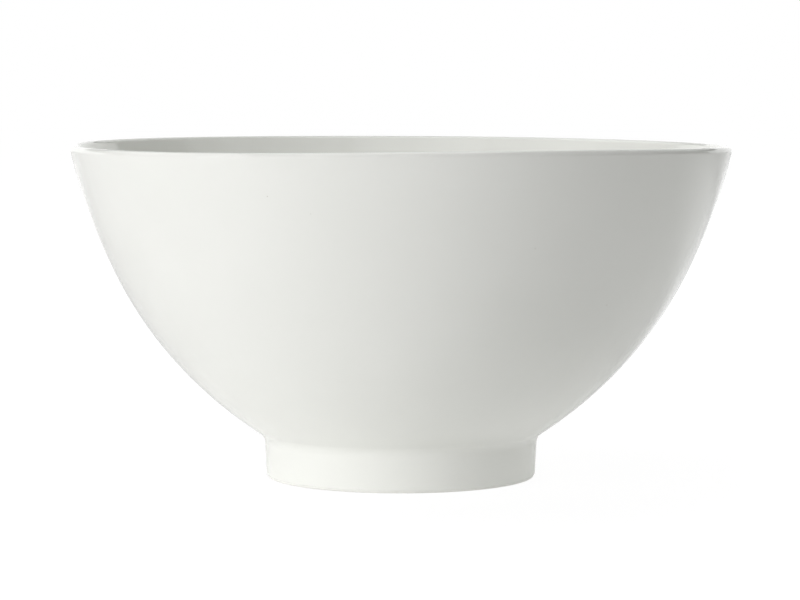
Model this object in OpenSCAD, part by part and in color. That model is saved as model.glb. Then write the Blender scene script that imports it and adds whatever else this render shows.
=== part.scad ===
// Footed porcelain serving bowl: a vessel, a foot ring luted to its underside
// with slip, and the glaze coats fired over both. All sizes are in millimetres,
// +Z is up, and the origin is the middle of the foot, on the table.

/* [Bowl] */
// Outside diameter at the lip
rim_d = 250; // [220:5:280]
// Height from the table to the highest point of the lip
bowl_h = 127; // [115:1:140]
// Lean of the wall at the lip, in degrees from upright
lip_lean = 14; // [10:1:18]
// Lean of the wall where it meets the foot, in degrees from upright
base_lean = 57; // [53:1:60]

/* [Walls] */
// Thickness of the lip, which is fully rounded
lip_t = 3.4; // [2.6:0.2:4.4]
// Thickness of the wall where it meets the foot
base_t = 5.6; // [5:0.2:6.4]
// Height of the inside floor above the table, at the middle
floor_z = 13.6; // [13.2:0.2:15]
// Depth of the recess under the bowl, at the middle
recess_h = 7.8; // [7.2:0.2:8.6]

/* [Foot] */
// Outside diameter of the foot at the table
foot_d = 102.2; // [97:0.1:103]
// Outside diameter of the foot where the bowl starts
foot_top_d = 103.9; // [103:0.1:108]
// Height of the foot, up to the start of the bowl
foot_h = 15.6; // [15:0.2:17]
// Thickness of the foot ring at the table
ring_t = 5.2; // [4.6:0.2:5.6]
// Radius of the rounded edges that the foot stands on
edge_r = 0.9; // [0.6:0.1:1.3]

/* [Joint] */
// Thickness of the film of slip between the vessel and the foot ring
slip_t = 0.4; // [0.3:0.1:0.6]
// Length of the outer bead of slip, along the foot and along the wall
outer_bead = 2.6; // [1.2:0.1:4.2]
// Length of the inner bead of slip, along the foot and along the vessel
inner_bead = 3; // [2.4:0.1:3.2]
// Number of scored grooves in each face of the joint
scores = 3; // [1:1:3]

/* [Glaze] */
// Thickness of the glaze
glaze_t = 0.3; // [0.2:0.05:0.4]

/* [Hidden] */

turn_fn = 180;      // facets of a full turn, for drawing only
wall_steps = 44;    // steps along the wall
floor_steps = 14;   // steps along the inside floor, and along the recess
bead_steps = 7;     // steps along a bead of slip
lip_steps = 8;      // steps along each half of the lip
edge_steps = 5;     // steps along a rounded edge of the foot
wall_low = 0.32;    // pull of the lean at the foot on the wall, as a share of its chord
wall_high = 0.42;   // pull of the lean at the lip
floor_flat = 23;    // radius of the nearly flat middle of the inside floor
floor_bend = 10;    // pull of the wall's lean on the floor
recess_flat = 30;   // radius of the nearly flat middle of the recess
recess_bend = 3;    // pull of the seat's lean on the recess
draft = 0.5;        // how far the recess closes in, from the table to the vessel
score_d = 0.45;     // depth of a scored groove
score_w = 0.9;      // width of a scored groove

// ---- Curves. Each has four control points, and runs with the clay on its left ----

function blend(c, t) =
    pow(1 - t, 3) * c[0] + 3 * t * pow(1 - t, 2) * c[1]
    + 3 * t * t * (1 - t) * c[2] + pow(t, 3) * c[3];
function slope(c, t) =
    pow(1 - t, 2) * (c[1] - c[0]) + 2 * t * (1 - t) * (c[2] - c[1])
    + t * t * (c[3] - c[2]);
function unit(v) = v / norm(v);
// The direction out of the clay, to the right of u
function right(u) = [u.y, -u.x];
// The point at share t of the curve, at depth d in the clay
function under(c, t, d) = blend(c, t) - d * right(unit(slope(c, t)));
// The whole curve at depth d
function run(c, d, steps) = [for (i = [0 : steps]) under(c, i / steps, d)];
// Where the line from p along u crosses the line from q along v
function meet(p, u, q, v) =
    p + u * ((q.x - p.x) * v.y - (q.y - p.y) * v.x) / (u.x * v.y - u.y * v.x);
// A round bead from p, along u, to q, along v, where both are size from the corner
function bead(p, u, q, v, size) =
    let (turn = acos(u * v), pull = size * 4 / 3 * tan(turn / 4) / tan(turn / 2))
    [p, p + pull * u, q - pull * v, q];
function reversed(list) = [for (i = [len(list) - 1 : -1 : 0]) list[i]];
function without_first(list) = [for (i = [1 : len(list) - 1]) list[i]];

// ---- The wall, from the foot up to the lip ----

up_base = [sin(base_lean), cos(base_lean)];
up_lip = [sin(lip_lean), cos(lip_lean)];
lip_r = lip_t / 2;
lip_mid = [rim_d / 2 - lip_r, bowl_h - lip_r];
wall_foot = [foot_top_d / 2, foot_h];
wall_lip = lip_mid + lip_r * right(up_lip);
chord = norm(wall_lip - wall_foot);
wall = [wall_foot, wall_foot + wall_low * chord * up_base,
        wall_lip - wall_high * chord * up_lip, wall_lip];
// Share of the wall that the outer bead covers
covered = outer_bead / (3 * wall_low * chord);
wall_shares = [for (i = [0 : wall_steps]) covered + (1 - covered) * i / wall_steps];
function wall_t(t) = lip_t + (base_t - lip_t) * pow(1 - t, 2) * (1 + 2 * t);
function wall_out(d) = [for (t = wall_shares) under(wall, t, d)];
function wall_in(d) =
    [for (t = concat(reversed(wall_shares), [0])) under(wall, t, wall_t(t) - d)];
// The lip at depth d, from angle a to angle b
function lip(d, a, b) =
    [for (i = [0 : lip_steps])
        let (q = a + (b - a) * i / lip_steps) lip_mid + (lip_r - d) * [cos(q), sin(q)]];

// ---- The inside floor, from the wall to the middle ----

floor_edge = under(wall, 0, base_t);
floor_in = [floor_edge, floor_edge - floor_bend * up_base, [floor_flat, floor_z], [0, floor_z]];

// ---- The foot ring's sides. The ring runs down to the table ----

foot_low = [foot_d / 2, 0];
foot_up = unit(wall_foot - foot_low);
hole_low = [foot_d / 2 - ring_t, 0];
hole_up = unit([-draft, foot_h]);
// The points of each side at depth d, at height z
function foot_side(d, z) = meet(foot_low - d * right(foot_up), foot_up, [0, z], [1, 0]);
function hole_side(d, z) = meet(hole_low - d * right(-hole_up), hole_up, [0, z], [1, 0]);

// ---- The seat of the ring on the vessel, in line with the wall's start ----

seat_out = under(wall, 0, glaze_t);
seat_in = meet(seat_out, up_base, hole_side(glaze_t, 0), hole_up);
ring_top = seat_out + slip_t * right(up_base);
ring_top_out = meet(ring_top, up_base, foot_side(glaze_t, 0), foot_up);
ring_top_in = meet(ring_top, up_base, hole_side(glaze_t, 0), hole_up);
// A face of the joint from p to q, with scored grooves cut towards dip
function scored(p, q, dip) =
    let (u = unit(q - p), pitch = norm(q - p) / scores)
    [p, for (i = [0 : scores - 1])
            let (mid = p + u * pitch * (i + 0.5))
            each [mid - u * score_w / 2, mid + dip * score_d, mid + u * score_w / 2],
     q];
seat_face = scored(seat_in, seat_out, -right(up_base));
ring_face = scored(ring_top_in, ring_top_out, right(up_base));

// ---- The beads of slip, and the recess between the inner bead and the middle ----

outer_fillet = bead(wall_foot - outer_bead * foot_up, foot_up, blend(wall, covered),
                    unit(slope(wall, covered)), outer_bead);
recess_corner = meet(wall_foot, up_base, hole_low, hole_up);
recess_edge = recess_corner - inner_bead * up_base;
recess = [[0, recess_h], [recess_flat, recess_h], recess_edge - recess_bend * up_base,
          recess_edge];
inner_fillet = bead(recess_edge, up_base, recess_corner - inner_bead * hole_up, -hole_up,
                    inner_bead);

// ---- The open surfaces at depth d, with the clay on their left ----

function outside_path(d) =
    concat([foot_side(d, edge_r)], run(outer_fillet, d, bead_steps),
           without_first(wall_out(d)), without_first(lip(d, -lip_lean, 90)));
function inside_path(d) =
    concat(lip(d, 90, 180 - lip_lean), without_first(wall_in(d)),
           without_first(run(floor_in, d, floor_steps)));
function recess_path(d) =
    concat(run(recess, d, floor_steps), without_first(run(inner_fillet, d, bead_steps)),
           [hole_side(d, edge_r)]);
// A bare rounded edge that starts at angle a and ends at p
function edge(p, a) =
    let (mid = [p.x, edge_r] - edge_r * [a < 270 ? -1 : 1, 0])
    [for (i = [0 : edge_steps])
        let (q = a + 90 * i / edge_steps) mid + edge_r * [cos(q), sin(q)]];

module turned(outline) {
    rotate_extrude($fn = turn_fn) polygon(outline);
}

module vessel() {
    color("ivory")
        turned(concat(run(recess, glaze_t, floor_steps), seat_face, wall_out(glaze_t),
                      without_first(lip(glaze_t, -lip_lean, 90)),
                      without_first(inside_path(glaze_t))));
}

module foot_ring() {
    outer_low = under(outer_fillet, 0, glaze_t);
    inner_low = under(inner_fillet, 1, glaze_t);
    color("ivory")
        turned(concat(edge(hole_side(glaze_t, edge_r), 180),
                      edge(foot_side(glaze_t, edge_r), 270),
                      [outer_low], reversed(ring_face), [inner_low]));
}

module foot_slip() {
    color("linen")
        turned(concat(run(outer_fillet, glaze_t, bead_steps), reversed(seat_face),
                      run(inner_fillet, glaze_t, bead_steps), ring_face));
}

module outside_glaze() {
    color("white") turned(concat(outside_path(0), reversed(outside_path(glaze_t))));
}

module inside_glaze() {
    color("white") turned(concat(inside_path(0), reversed(inside_path(glaze_t))));
}

module recess_glaze() {
    color("white") turned(concat(recess_path(0), reversed(recess_path(glaze_t))));
}

vessel();
foot_ring();
foot_slip();
outside_glaze();
inside_glaze();
recess_glaze();
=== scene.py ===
"""A white porcelain serving bowl on a luted foot ring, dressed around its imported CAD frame.

Lengths are in metres in the CAD frame: +Z is up, and the origin is in the middle of the foot, on the table.
An outline is a list of (radius, height) points, which revolve() turns about +Z.
"""
import math

import bpy
import numpy as np
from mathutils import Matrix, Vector


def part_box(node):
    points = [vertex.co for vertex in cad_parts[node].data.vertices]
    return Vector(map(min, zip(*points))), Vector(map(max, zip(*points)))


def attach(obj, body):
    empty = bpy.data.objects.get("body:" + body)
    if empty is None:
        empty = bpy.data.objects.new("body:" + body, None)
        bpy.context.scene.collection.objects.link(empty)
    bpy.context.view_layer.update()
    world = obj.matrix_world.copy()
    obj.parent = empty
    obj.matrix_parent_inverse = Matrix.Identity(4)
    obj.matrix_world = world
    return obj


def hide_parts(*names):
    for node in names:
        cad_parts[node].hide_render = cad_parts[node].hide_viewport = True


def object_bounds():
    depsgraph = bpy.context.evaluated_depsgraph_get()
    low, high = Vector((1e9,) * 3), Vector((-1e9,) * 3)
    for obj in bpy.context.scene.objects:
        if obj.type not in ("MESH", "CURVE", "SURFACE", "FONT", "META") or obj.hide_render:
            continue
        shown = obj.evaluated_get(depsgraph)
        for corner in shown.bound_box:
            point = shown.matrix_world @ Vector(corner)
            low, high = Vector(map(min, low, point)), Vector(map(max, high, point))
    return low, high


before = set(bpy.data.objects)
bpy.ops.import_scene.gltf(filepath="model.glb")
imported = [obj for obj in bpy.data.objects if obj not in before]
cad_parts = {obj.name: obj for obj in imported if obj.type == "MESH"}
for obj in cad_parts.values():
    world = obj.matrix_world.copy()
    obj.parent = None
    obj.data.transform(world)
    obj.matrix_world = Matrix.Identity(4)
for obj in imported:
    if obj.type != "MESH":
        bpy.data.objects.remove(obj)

cad_low, cad_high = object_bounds()
MM = 0.001

# ---------------------------------------------------------------- sizes, most of them from the frame

rim_r = cad_high.x
lip_r = rim_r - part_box("inside_glaze")[1].x
glaze_t = cad_high.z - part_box("vessel")[1].z
wipe_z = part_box("outside_glaze")[0].z
recess_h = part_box("vessel")[0].z - glaze_t
floor_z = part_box("inside_glaze")[0].z + glaze_t

# The fired lip rises and falls twice round the bowl and three times round it, and is a little tilted. Each
# has its height, and the angle round the bowl at which it is lowest.
kiln_oval, oval_turn = 0.50 * MM, math.radians(30)
kiln_lobes, lobes_turn = 0.20 * MM, math.radians(-8)
kiln_tilt, tilt_turn = 0.22 * MM, math.radians(1)
wave_t = 0.02 * MM             # height of the faint waves that shaping leaves in the wall

lip_lean = math.radians(14)    # from upright, as in the CAD model
base_lean = math.radians(57)
wall_low, wall_high = 0.32, 0.42   # pulls of the two leans, as shares of the wall's chord
base_t = 5.6 * MM
lip_t = 2 * lip_r
foot_low = np.array([51.1, 0]) * MM
wall_foot = np.array([51.95, 15.6]) * MM
ring_t = 5.2 * MM
edge_r = 0.9 * MM
draft = 0.5 * MM
slip_t = 0.4 * MM
scores, score_d, score_w = 3, 0.45 * MM, 0.9 * MM   # grooves in a face of the joint: how many, depth, width
outer_bead = 2.6 * MM
inner_bead = 3.0 * MM
floor_flat, floor_bend = 23 * MM, 10 * MM
recess_flat, recess_bend = 30 * MM, 3 * MM
glaze_roll = 0.45 * MM         # height over which the glaze rolls in to the wiped line
wipe_wander = 0.15 * MM        # how far the sponged line wanders up the foot
tool_rings, tool_d = 8, 0.03 * MM   # rings that turning leaves in the recess: how many, depth

TURN_STEPS = 360
WALL_STEPS = 64
LIP_STEPS = 26
FLOOR_STEPS = 26
RECESS_STEPS = 52
BEAD_STEPS = 14
EDGE_STEPS = 10


# ---------------------------------------------------------------- curves and outlines

def right(u):
    """The direction to the right of u, which is out of the clay."""
    return np.array([u[1], -u[0]])


def unit(v):
    return v / np.linalg.norm(v)


def lean(angle):
    return np.array([math.sin(angle), math.cos(angle)])


def blend(c, t):
    return (1 - t) ** 3 * c[0] + 3 * t * (1 - t) ** 2 * c[1] + 3 * t * t * (1 - t) * c[2] + t ** 3 * c[3]


def slope(c, t):
    return (1 - t) ** 2 * (c[1] - c[0]) + 2 * t * (1 - t) * (c[2] - c[1]) + t * t * (c[3] - c[2])


def under(c, t, depth):
    """The point at share t of curve c, at that depth in the clay."""
    return blend(c, t) - depth * right(unit(slope(c, t)))


def run(c, depth, steps, start=0.0, end=1.0):
    return [under(c, t, depth) for t in np.linspace(start, end, steps + 1)]


def meet(p, u, q, v):
    """Where the line from p along u crosses the line from q along v."""
    d = q - p
    return p + u * (d[0] * v[1] - d[1] * v[0]) / (u[0] * v[1] - u[1] * v[0])


def bead(p, u, q, v, size):
    """A round bead from p, along u, to q, along v, where both are size from the corner."""
    turn = math.acos(float(u @ v))
    pull = size * 4 / 3 * math.tan(turn / 4) / math.tan(turn / 2)
    return [p, p + pull * u, q - pull * v, q]


def kiln_rise(phi):
    """How far firing leaves the lip above its mean height, at angle phi round the bowl."""
    return -(kiln_oval * np.cos(2 * (phi - oval_turn)) + kiln_lobes * np.cos(3 * (phi - lobes_turn))
             + kiln_tilt * np.cos(phi - tilt_turn))


up_base, up_lip = lean(base_lean), lean(lip_lean)
highest = np.max(kiln_rise(np.linspace(0, 2 * math.pi, TURN_STEPS, endpoint=False)))
lip_mid = np.array([rim_r - lip_r, cad_high.z - highest - lip_r])
wall_lip = lip_mid + lip_r * right(up_lip)
chord = np.linalg.norm(wall_lip - wall_foot)
wall = [wall_foot, wall_foot + wall_low * chord * up_base, wall_lip - wall_high * chord * up_lip, wall_lip]
covered = outer_bead / (3 * wall_low * chord)   # share of the wall under the outer bead
wall_shares = np.linspace(covered, 1, WALL_STEPS + 1)

floor_edge = under(wall, 0, base_t)
floor_in = [floor_edge, floor_edge - floor_bend * up_base, np.array([floor_flat, floor_z]),
            np.array([0, floor_z])]

foot_up = unit(wall_foot - foot_low)
hole_low = foot_low - np.array([ring_t, 0])
hole_up = unit(np.array([-draft, wall_foot[1]]))
recess_corner = meet(wall_foot, up_base, hole_low, hole_up)
recess_edge = recess_corner - inner_bead * up_base
recess = [np.array([0, recess_h]), np.array([recess_flat, recess_h]), recess_edge - recess_bend * up_base,
          recess_edge]
outer_fillet = bead(wall_foot - outer_bead * foot_up, foot_up, blend(wall, covered),
                    unit(slope(wall, covered)), outer_bead)
inner_fillet = bead(recess_edge, up_base, recess_corner - inner_bead * hole_up, -hole_up, inner_bead)
LEVEL = np.array([1.0, 0.0])


def wall_t(t):
    return lip_t + (base_t - lip_t) * (1 - t) ** 2 * (1 + 2 * t)


def foot_side(depth, z):
    return meet(foot_low - depth * right(foot_up), foot_up, np.array([0, z]), LEVEL)


def hole_side(depth, z):
    return meet(hole_low - depth * right(-hole_up), hole_up, np.array([0, z]), LEVEL)


def lip(depth, start, end):
    angles = np.radians(np.linspace(start, end, LIP_STEPS + 1))
    return [lip_mid + (lip_r - depth) * np.array([math.cos(a), math.sin(a)]) for a in angles]


def roll(side):
    """The glaze's rounded lower edge, from the clay out to the open surface."""
    turns = np.linspace(0, math.pi / 2, EDGE_STEPS + 1)[:-1]
    return [side(glaze_t * (1 - math.sin(a)), wipe_z + glaze_roll * (1 - math.cos(a))) for a in turns]


def outside_path(depth):
    """The outside, up from the top of the foot's roll to the crest of the lip."""
    return ([foot_side(depth, wipe_z + glaze_roll)] + run(outer_fillet, depth, BEAD_STEPS)
            + [under(wall, t, depth) for t in wall_shares[1:]] + lip(depth, -math.degrees(lip_lean), 90)[1:])


def inside_path(depth):
    """The inside, from the crest of the lip to the middle of the floor."""
    shares = np.append(wall_shares[::-1], 0)
    return (lip(depth, 90, 180 - math.degrees(lip_lean))
            + [under(wall, t, wall_t(t) - depth) for t in shares[1:]] + run(floor_in, depth, FLOOR_STEPS)[1:])


def turned_recess(depth):
    """The recess under the bowl, with the faint rings that the turning tool leaves."""
    points = run(recess, depth, RECESS_STEPS)
    waves = [math.sin(math.pi * tool_rings * p[0] / recess_edge[0]) ** 2 for p in points]
    return [p - np.array([0, tool_d * wave]) for p, wave in zip(points, waves)]


def recess_path(depth):
    """The recess, from its middle to the top of the foot's roll."""
    return (turned_recess(depth) + run(inner_fillet, depth, BEAD_STEPS)[1:]
            + [hole_side(depth, wipe_z + glaze_roll)])


def rounded_edge(p, start):
    """A quarter turn from angle start, in degrees, that ends or starts at p."""
    mid = np.array([p[0] + (edge_r if start < 270 else -edge_r), edge_r])
    angles = np.radians(np.linspace(start, start + 90, EDGE_STEPS + 1))
    return [mid + edge_r * np.array([math.cos(a), math.sin(a)]) for a in angles]


# ---------------------------------------------------------------- the joint between the ring and the vessel

seat_out = under(wall, 0, glaze_t)
seat_in = meet(seat_out, up_base, hole_side(glaze_t, 0), hole_up)
ring_top = seat_out + slip_t * right(up_base)
ring_top_out = meet(ring_top, up_base, foot_side(glaze_t, 0), foot_up)
ring_top_in = meet(ring_top, up_base, hole_side(glaze_t, 0), hole_up)


def scored(p, q, dip):
    """A face of the joint from p to q, with scored grooves cut towards dip."""
    u = unit(q - p)
    pitch = np.linalg.norm(q - p) / scores
    mids = [p + u * pitch * (i + 0.5) for i in range(scores)]
    grooves = [[m - u * score_w / 2, m + dip * score_d, m + u * score_w / 2] for m in mids]
    return [p] + sum(grooves, []) + [q]


seat_face = scored(seat_in, seat_out, -right(up_base))
ring_face = scored(ring_top_in, ring_top_out, right(up_base))


# ---------------------------------------------------------------- meshes

def fired(points):
    """The slow distortion that firing gives the wall: none at the foot, most at the lip."""
    x, y, z = points.T
    phi = np.arctan2(y, x)
    up = np.clip((z - floor_z) / (lip_mid[1] - floor_z), 0, 1)
    rise = kiln_rise(phi) * up * up * (3 - 2 * up)
    wave = np.sin(3 * phi + 60 * z) + 0.7 * np.sin(5 * phi - 95 * z + 1) + 0.6 * np.sin(2 * phi + 170 * z + 2)
    swell = 1 + wave_t * wave * up * (1 - up) * 4 / np.maximum(np.hypot(x, y), 1 * MM)
    return np.stack([x * swell, y * swell, z + rise], axis=1)


def sponged(points):
    """Lets the lower edge of a glaze coat wander upwards, as the sponge that wipes the foot leaves it."""
    x, y, z = points.T
    phi = np.arctan2(y, x)
    wander = 2 + np.sin(2 * phi + 1) + 0.6 * np.sin(7 * phi) + 0.4 * np.sin(17 * phi + 2)
    near = np.clip(1 - (z - wipe_z) / (2 * MM), 0, 1) ** 2
    return np.stack([x, y, z + wipe_wander * wander / 4 * near], axis=1)


def revolve(name, outline, shape=fired, sharp_angle=35):
    """A closed mesh turned from a closed outline with clay on its left. Points on the axis become poles."""
    ring = np.array(outline)
    on_axis = ring[:, 0] < 1e-9
    turns = np.linspace(0, 2 * math.pi, TURN_STEPS, endpoint=False)
    around = np.stack([np.cos(turns), np.sin(turns)], axis=1)
    points, first = [], []
    for (r, z), axial in zip(ring, on_axis):
        first.append(len(points))
        points += [(0.0, 0.0, z)] if axial else [(r * c, r * s, z) for c, s in around]
    faces = []
    count = len(ring)
    for i in range(count):
        j = (i + 1) % count
        a, b = first[i], first[j]
        if on_axis[i] and on_axis[j]:
            continue
        for k in range(TURN_STEPS):
            m = (k + 1) % TURN_STEPS
            if on_axis[i]:
                faces.append((a, b + m, b + k))
            elif on_axis[j]:
                faces.append((a + k, a + m, b))
            else:
                faces.append((a + k, a + m, b + m, b + k))
    mesh = bpy.data.meshes.new(name)
    mesh.from_pydata(shape(np.array(points)).tolist(), [], faces)
    mesh.validate()
    mesh.shade_smooth()
    mesh.set_sharp_from_angle(angle=math.radians(sharp_angle))
    piece = bpy.data.objects.new(name, mesh)
    bpy.context.scene.collection.objects.link(piece)
    return piece


# ---------------------------------------------------------------- materials

class Shader:
    """A material's node tree, with short calls to add and join its nodes."""

    def __init__(self, name):
        self.material = bpy.data.materials.new(name)
        self.material.use_nodes = True
        self.nodes = self.material.node_tree.nodes
        self.surface = self.nodes["Principled BSDF"]

    def add(self, kind, **inputs):
        node = self.nodes.new("ShaderNode" + kind)
        for key, value in inputs.items():
            self.put(node, key.replace("_", " "), value)
        return node

    def put(self, node, key, value):
        """Sets an input, or joins it to another node's output."""
        socket = node.inputs[int(key) if key.isdigit() else key]
        if isinstance(value, bpy.types.NodeSocket):
            self.material.node_tree.links.new(value, socket)
        else:
            socket.default_value = value

    def ramp(self, source, stops):
        """Maps source through (position, colour) stops."""
        node = self.add("ValToRGB", Fac=source)
        elements = node.color_ramp.elements
        while len(elements) < len(stops):
            elements.new(0.5)
        for element, (position, colour) in zip(elements, stops):
            element.position = position
            element.color = (*colour, 1)
        return node.outputs["Color"]

    def fade(self, source, start, end, low, high):
        """Goes smoothly from low, where source is at start or under, to high, where it is at end or over."""
        node = self.add("MapRange")
        node.interpolation_type = "SMOOTHSTEP"
        self.put(node, "Value", source)
        self.put(node, "From Min", start)
        self.put(node, "From Max", end)
        self.put(node, "To Min", low)
        self.put(node, "To Max", high)
        return node.outputs["Result"]

    def distance(self, point):
        """How far the shaded spot is from a point of the object."""
        node = self.add("VectorMath")
        node.operation = "DISTANCE"
        self.put(node, "0", self.add("TexCoord").outputs["Object"])
        self.put(node, "1", point)
        return node.outputs["Value"]

    def plus(self, one, other):
        node = self.add("Math")
        self.put(node, "0", one)
        self.put(node, "1", other)
        return node.outputs["Value"]


def porcelain_glaze():
    """Glossy white glaze: faint clouding, a long ripple, a fine one, and a rare grey speck in a pinhole."""
    s = Shader("porcelain_glaze")
    place = s.add("TexCoord").outputs["Object"]
    cloud = s.add("TexNoise", Vector=place, Scale=22.0, Detail=3.0).outputs["Fac"]
    tint = s.ramp(cloud, [(0.3, (0.862, 0.871, 0.828)), (0.7, (0.878, 0.886, 0.845))])
    cell = s.add("TexVoronoi", Vector=place, Scale=62.0).outputs["Distance"]
    speck = s.ramp(cell, [(0.006, (0.62, 0.60, 0.56)), (0.018, (1, 1, 1))])
    marked = s.add("Mix", Factor=1.0)
    marked.data_type = "RGBA"
    marked.blend_type = "MULTIPLY"
    s.put(marked, "6", tint)
    s.put(marked, "7", speck)
    s.put(s.surface, "Base Color", marked.outputs[2])
    haze = s.add("TexNoise", Vector=place, Scale=45.0, Detail=4.0).outputs["Fac"]
    s.put(s.surface, "Roughness", s.fade(haze, 0.3, 0.7, 0.04, 0.08))
    swell = s.add("TexNoise", Vector=place, Scale=45.0, Detail=1.0).outputs["Fac"]
    ripple = s.add("Bump", Strength=1.0, Distance=0.03 * MM, Height=swell).outputs["Normal"]
    peel = s.add("TexNoise", Vector=place, Scale=320.0, Detail=2.0).outputs["Fac"]
    fine = s.add("Bump", Strength=1.0, Distance=0.003 * MM, Height=peel, Normal=ripple).outputs["Normal"]
    pinhole = s.add("Bump", Strength=0.5, Distance=0.1 * MM, Height=speck, Normal=fine)
    s.put(s.surface, "Normal", pinhole.outputs["Normal"])
    s.put(s.surface, "IOR", 1.5)
    return s.material


def bare_porcelain():
    """Unglazed fired porcelain: matte, with a fine grain."""
    s = Shader("bare_porcelain")
    place = s.add("TexCoord").outputs["Object"]
    grain = s.add("TexNoise", Vector=place, Scale=2500.0, Detail=4.0).outputs["Fac"]
    tint = s.ramp(grain, [(0.3, (0.82, 0.82, 0.78)), (0.7, (0.87, 0.87, 0.83))])
    s.put(s.surface, "Base Color", tint)
    s.put(s.surface, "Roughness", s.fade(grain, 0.3, 0.7, 0.5, 0.7))
    bump = s.add("Bump", Strength=0.3, Distance=0.03 * MM, Height=grain)
    s.put(s.surface, "Normal", bump.outputs["Normal"])
    return s.material


def fired_slip():
    """The slip that lutes the ring on: the same clay, a little finer and warmer."""
    s = Shader("fired_slip")
    place = s.add("TexCoord").outputs["Object"]
    grain = s.add("TexNoise", Vector=place, Scale=1500.0, Detail=3.0).outputs["Fac"]
    tint = s.ramp(grain, [(0.3, (0.72, 0.70, 0.64)), (0.7, (0.80, 0.78, 0.72))])
    s.put(s.surface, "Base Color", tint)
    s.put(s.surface, "Roughness", s.fade(grain, 0.3, 0.7, 0.6, 0.75))
    return s.material


# ---------------------------------------------------------------- pieces

def finish_piece(piece, material, slot, *nodes):
    piece.data.materials.append(material)
    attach(piece, "root")
    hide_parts(*nodes)


def make_pieces():
    glaze, bare, slip = porcelain_glaze(), bare_porcelain(), fired_slip()
    body = (turned_recess(glaze_t) + seat_face + [under(wall, t, glaze_t) for t in wall_shares]
            + lip(glaze_t, -math.degrees(lip_lean), 90)[1:] + inside_path(glaze_t)[1:])
    finish_piece(revolve("vessel_body", body), bare, "porcelain_body", "vessel")

    ring = (rounded_edge(hole_side(glaze_t, edge_r), 180) + rounded_edge(foot_side(glaze_t, edge_r), 270)
            + [under(outer_fillet, 0, glaze_t)] + ring_face[::-1] + [under(inner_fillet, 1, glaze_t)])
    finish_piece(revolve("foot_ring_body", ring), bare, "porcelain_body", "foot_ring")

    lute = (run(outer_fillet, glaze_t, BEAD_STEPS) + seat_face[::-1] + run(inner_fillet, glaze_t, BEAD_STEPS)
            + ring_face)
    finish_piece(revolve("foot_slip_joint", lute), slip, "luting_slip", "foot_slip")

    outside = roll(foot_side) + outside_path(0) + outside_path(glaze_t)[::-1]
    outside_coat = revolve("outside_glaze_coat", outside, lambda points: fired(sponged(points)))
    finish_piece(outside_coat, glaze, "white_glaze", "outside_glaze")

    inside = inside_path(0) + inside_path(glaze_t)[::-1]
    finish_piece(revolve("inside_glaze_coat", inside), glaze, "white_glaze", "inside_glaze")

    under_foot = recess_path(0) + roll(hole_side)[::-1] + recess_path(glaze_t)[::-1]
    finish_piece(revolve("recess_glaze_coat", under_foot, sponged), glaze, "white_glaze", "recess_glaze")


# ---------------------------------------------------------------- studio

def make_camera():
    """A long lens, slightly above the lip and looking a little down, as in the photograph."""
    data = bpy.data.cameras.new("camera")
    data.sensor_width = 36
    data.lens = 135
    camera = bpy.data.objects.new("camera", data)
    camera.location = (-0.0003, -1.138, 0.1558)
    camera.rotation_euler = (math.radians(90 - 4.46), 0, 0)
    bpy.context.scene.collection.objects.link(camera)
    bpy.context.scene.camera = camera


NEUTRAL, COOL, WARM = (1, 1, 1), (1.0, 0.992, 1.004), (0.996, 1.0, 0.985)   # tints of the lights


def card(name, azimuth, elevation, wide, tall, radiance, distance=2.0, mirrored=True, tint=NEUTRAL):
    """A soft light card, square-on to the bowl. Its place and its size are in degrees, as the bowl sees them:
    azimuth 0 is behind the bowl and 90 to its right. A card that isn't mirrored leaves no highlight.
    """
    a, e = math.radians(azimuth), math.radians(elevation)
    away = Vector((math.sin(a) * math.cos(e), math.cos(a) * math.cos(e), math.sin(e)))
    data = bpy.data.lights.new(name, "AREA")
    data.shape = "RECTANGLE"
    data.size = 2 * distance * math.tan(math.radians(wide / 2))
    data.size_y = 2 * distance * math.tan(math.radians(tall / 2))
    data.energy = radiance * math.pi * data.size * data.size_y
    data.color = tint
    light = bpy.data.objects.new(name, data)
    light.location = Vector((0, 0, cad_high.z / 2)) + away * distance
    light.rotation_euler = away.to_track_quat("Z", "Y").to_euler()
    light.visible_camera = False
    light.visible_glossy = mirrored
    bpy.context.scene.collection.objects.link(light)


def make_lights():
    """The key is at the front left, with weaker cards elsewhere, so the right side of the bowl stays light
    grey. Most of the key, and the low light at the right, are polarised and leave no highlight on the lip.
    """
    card("key_polarised", -131, 10.5, 38, 25, 5.16, mirrored=False, tint=COOL)
    card("key_softbox", -131, 10, 44, 26, 0.72, tint=COOL)
    card("key_high", -144, 34, 90, 24, 0.49)
    card("front_fill", -174, 28, 48, 12, 0.85)
    card("front_right", 126, 28, 72, 12, 0.78)
    card("right_side", 75, 38, 70, 20, 0.46)
    card("right_low", 67, 4, 40, 14, 2.95, mirrored=False, tint=WARM)
    card("backdrop", -5, 9, 110, 24, 1.18)
    card("left_rear", -58, 47, 50, 32, 1.13)
    card("right_rear", 12, 42, 36, 40, 0.90)
    card("ceiling", 0, 90, 40, 40, 1.86, distance=1.2)


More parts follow.
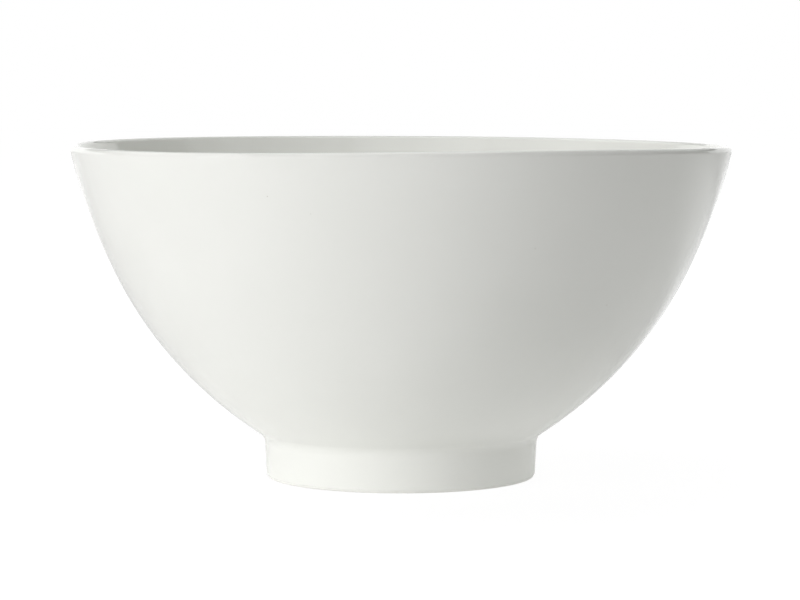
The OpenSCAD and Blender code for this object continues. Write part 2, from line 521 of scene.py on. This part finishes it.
def make_table():
    """A table that the camera sees as nearly pure white, with a trace of shadow, and that is clear from
    below, so that the underside can be looked at. To all other rays it is a white table with a trace of
    painted shade at the left of the foot, and with soft glowing patches of painted light that do what
    reflectors would: under the bowl, at the right of the foot, and behind and beside the bowl.
    """
    reach = 6
    corners = [(-reach, -reach, 0), (reach, -reach, 0), (reach, reach, 0), (-reach, reach, 0)]
    mesh = bpy.data.meshes.new("table")
    mesh.from_pydata(corners, [], [(0, 1, 2, 3)])
    table = bpy.data.objects.new("table", mesh)
    bpy.context.scene.collection.objects.link(table)

    s = Shader("table_top")
    from_bowl = s.distance((0, 0, 0))
    # Painted shade: the table's colour is a trace darker at the left front of the foot, so less light bounces
    # onto the foot there.
    painted_shade_distance = s.distance((-0.06, -0.05, 0))
    s.put(s.surface, "Base Color", s.fade(painted_shade_distance, 0.02, 0.05, 0.87, 0.91))
    s.put(s.surface, "Roughness", 1.0)
    s.put(s.surface, "Specular IOR Level", 0.0)
    s.put(s.surface, "Emission Color", (1, 1, 1, 1))
    # Painted light: glowing patches on the table, under the bowl, at the right of the foot, and behind and
    # beside the bowl.
    through = s.fade(from_bowl, 0.8 * rim_r, 1.2 * rim_r, 0.19, 0.0)
    painted_glow_right_of_foot = s.fade(s.distance((0.055, -0.05, 0)), 0.02, 0.05, 0.07, 0.0)
    behind = s.fade(s.distance((0.04, 0.3, 0)), 0.08, 0.25, 0.23, 0.0)
    beside = s.fade(s.distance((0.34, 0.34, 0)), 0.1, 0.3, 0.33, 0.0)
    far = s.fade(s.distance((0.02, 1.2, 0)), 0.1, 0.9, 0.93, 0.0)
    glow = s.plus(s.plus(painted_glow_right_of_foot, through), s.plus(behind, s.plus(beside, far)))
    s.put(s.surface, "Emission Strength", glow)

    shaded = s.add("BsdfDiffuse", Color=(0.12, 0.12, 0.12, 1))
    lit = s.add("Emission", Strength=s.fade(from_bowl, rim_r, 3 * rim_r, 0.93, 1.0))
    seen = s.add("AddShader")
    s.put(seen, "0", shaded.outputs["BSDF"])
    s.put(seen, "1", lit.outputs["Emission"])
    above = s.add("MixShader", Fac=s.add("LightPath").outputs["Is Camera Ray"])
    s.put(above, "1", s.surface.outputs["BSDF"])
    s.put(above, "2", seen.outputs["Shader"])
    clear = s.add("BsdfTransparent")
    either = s.add("MixShader", Fac=s.add("NewGeometry").outputs["Backfacing"])
    s.put(either, "1", above.outputs["Shader"])
    s.put(either, "2", clear.outputs["BSDF"])
    s.put(s.nodes["Material Output"], "Surface", either.outputs["Shader"])
    mesh.materials.append(s.material)


def make_backdrop():
    """The camera sees plain white behind the bowl. Only the cards and the table give light."""
    world = bpy.data.worlds.new("studio")
    world.use_nodes = True
    nodes, links = world.node_tree.nodes, world.node_tree.links
    nodes["Background"].inputs["Color"].default_value = (1, 1, 1, 1)
    path = nodes.new("ShaderNodeLightPath")
    links.new(path.outputs["Is Camera Ray"], nodes["Background"].inputs["Strength"])
    bpy.context.scene.world = world


make_camera()
make_pieces()
make_lights()
make_table()
make_backdrop()
bpy.context.scene.view_settings.view_transform = "Standard"
